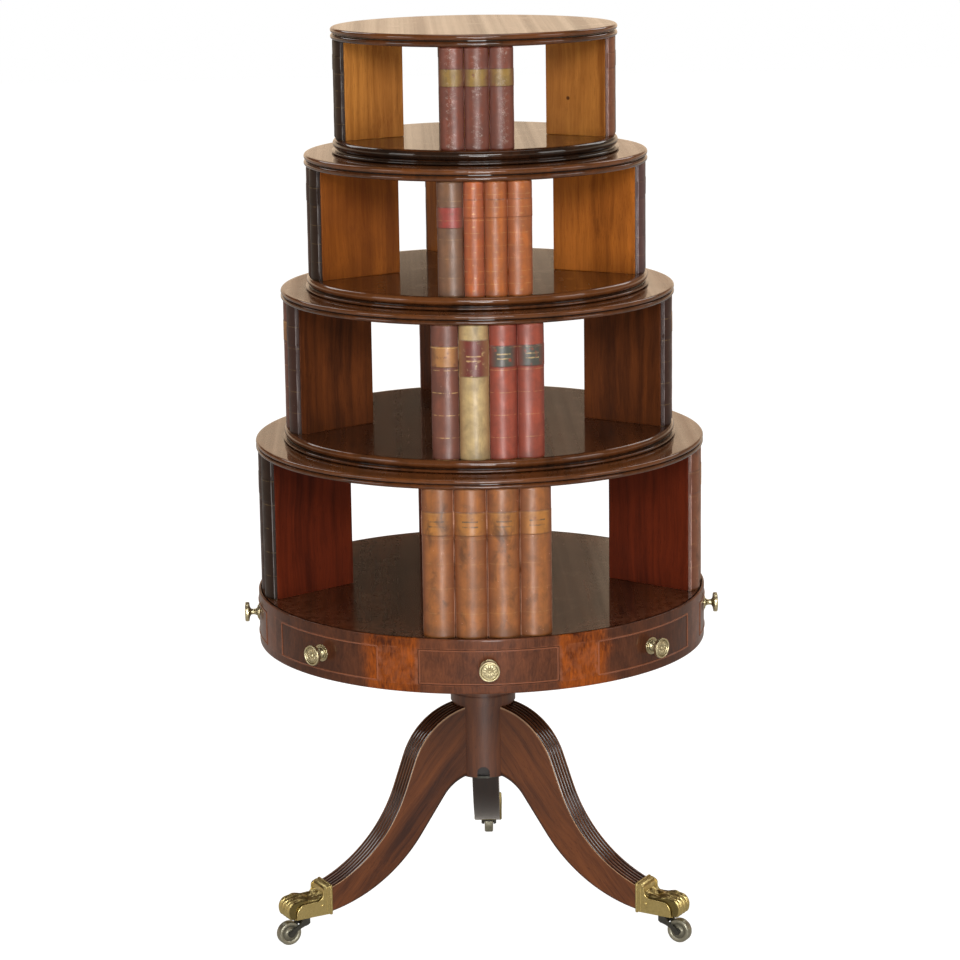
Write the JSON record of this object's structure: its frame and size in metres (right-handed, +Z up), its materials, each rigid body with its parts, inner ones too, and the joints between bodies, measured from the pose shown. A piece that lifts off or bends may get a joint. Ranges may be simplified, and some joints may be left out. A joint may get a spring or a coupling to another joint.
{
  "type": "revolving bookcase",
  "caption": "Tall revolving bookcase: stacked round shelves with dummy-book pillars, a drum with drawers, and a tripod of reeded sabre legs on paw castors.",
  "frame": {"origin": "on the floor, on the vertical axis that the tiers turn about", "axes": "+Z up along the spindle, -Y towards the front seen in the picture, +X to the viewer's right"},
  "size_m": [0.682, 0.682, 1.2855],
  "materials": {
    "mahogany": "polished",
    "golden_mahogany": "polished",
    "dark_mahogany": "polished",
    "flame_mahogany": "polished",
    "drawer_lining": "plain, unpolished",
    "brass": "aged",
    "iron": "blackened",
    "steel": "plain",
    "book_leather_1": "worn, gilt",
    "book_leather_2": "worn, gilt",
    "book_leather_3": "worn, gilt",
    "book_leather_4": "worn, gilt"
  },
  "bodies": {
    "pedestal": {"column": "mahogany", "leg_left": "mahogany", "leg_right": "mahogany", "leg_back": "mahogany", "brace_plate": "iron", "brace_screws": "steel", "spindle": "steel", "bearing_plate": "iron", "paw_cap_left": "brass", "paw_cap_right": "brass", "paw_cap_back": "brass", "paw_screws": "brass"},
    "drum": {"turntable_plate": "brass", "drum_base": "mahogany", "drum_stiles": "flame_mahogany", "drawer_guides": "drawer_lining", "sham_fronts": "flame_mahogany", "sham_knobs": "brass", "drum_top": "dark_mahogany", "tier4_pillars": "mahogany", "tier4_books": "book_leather_4", "tier4_top": "dark_mahogany"},
    "castor_left": {"castor_fork_left": "iron", "castor_axle_left": "steel"},
    "wheel_left": {"castor_wheel_left": "brass"},
    "castor_right": {"castor_fork_right": "iron", "castor_axle_right": "steel"},
    "wheel_right": {"castor_wheel_right": "brass"},
    "castor_back": {"castor_fork_back": "iron", "castor_axle_back": "steel"},
    "wheel_back": {"castor_wheel_back": "brass"},
    "drawer_front": {"front_drawer_face": "flame_mahogany", "front_drawer_box": "drawer_lining", "front_drawer_knob": "brass"},
    "drawer_right": {"right_drawer_face": "flame_mahogany", "right_drawer_box": "drawer_lining", "right_drawer_knob": "brass"},
    "drawer_back": {"back_drawer_face": "flame_mahogany", "back_drawer_box": "drawer_lining", "back_drawer_knob": "brass"},
    "drawer_left": {"left_drawer_face": "flame_mahogany", "left_drawer_box": "drawer_lining", "left_drawer_knob": "brass"},
    "tier_3": {"tier3_bush": "brass", "tier3_base": "dark_mahogany", "tier3_pillars": "mahogany", "tier3_books": "book_leather_3", "tier3_top": "dark_mahogany"},
    "tier_2": {"tier2_bush": "brass", "tier2_base": "dark_mahogany", "tier2_pillars": "golden_mahogany", "tier2_books": "book_leather_2", "tier2_top": "dark_mahogany"},
    "tier_1": {"tier1_bush": "brass", "tier1_base": "dark_mahogany", "tier1_pillars": "golden_mahogany", "tier1_books": "book_leather_1", "tier1_top": "dark_mahogany"}
  },
  "joints": [
    {"name": "drum_turn", "type": "hinge", "parent": "pedestal", "child": "drum", "pos_m": [0, 0, 0.412], "axis": [0, 0, 1], "continuous": true},
    {"name": "tier_3_turn", "type": "hinge", "parent": "drum", "child": "tier_3", "pos_m": [0, 0, 0.709], "axis": [0, 0, 1], "continuous": true},
    {"name": "tier_2_turn", "type": "hinge", "parent": "tier_3", "child": "tier_2", "pos_m": [0, 0, 0.923], "axis": [0, 0, 1], "continuous": true},
    {"name": "tier_1_turn", "type": "hinge", "parent": "tier_2", "child": "tier_1", "pos_m": [0, 0, 1.112], "axis": [0, 0, 1], "continuous": true},
    {"name": "drawer_front_slide", "type": "slide", "parent": "drum", "child": "drawer_front", "axis": [0, -1, 0], "range_m": [0, 0.14]},
    {"name": "drawer_right_slide", "type": "slide", "parent": "drum", "child": "drawer_right", "axis": [1, 0, 0], "range_m": [0, 0.14]},
    {"name": "drawer_back_slide", "type": "slide", "parent": "drum", "child": "drawer_back", "axis": [0, 1, 0], "range_m": [0, 0.14]},
    {"name": "drawer_left_slide", "type": "slide", "parent": "drum", "child": "drawer_left", "axis": [-1, 0, 0], "range_m": [0, 0.14]},
    {"name": "castor_left_swivel", "type": "hinge", "parent": "pedestal", "child": "castor_left", "pos_m": [-0.26392, -0.13622, 0.0397], "axis": [0, 0, 1], "continuous": true},
    {"name": "wheel_left_spin", "type": "hinge", "parent": "castor_left", "child": "wheel_left", "pos_m": [-0.28525, -0.14723, 0.017], "axis": [0.4586, -0.8886, 0], "continuous": true},
    {"name": "castor_right_swivel", "type": "hinge", "parent": "pedestal", "child": "castor_right", "pos_m": [0.24993, -0.16045, 0.0397], "axis": [0, 0, 1], "continuous": true},
    {"name": "wheel_right_spin", "type": "hinge", "parent": "castor_right", "child": "wheel_right", "pos_m": [0.27013, -0.17342, 0.017], "axis": [0.5402, 0.8415, 0], "continuous": true},
    {"name": "castor_back_swivel", "type": "hinge", "parent": "pedestal", "child": "castor_back", "pos_m": [0.01399, 0.29667, 0.0397], "axis": [0, 0, 1], "continuous": true},
    {"name": "wheel_back_spin", "type": "hinge", "parent": "castor_back", "child": "wheel_back", "pos_m": [0.01512, 0.32064, 0.017], "axis": [-0.9989, 0.0471, 0], "continuous": true}
  ]
}
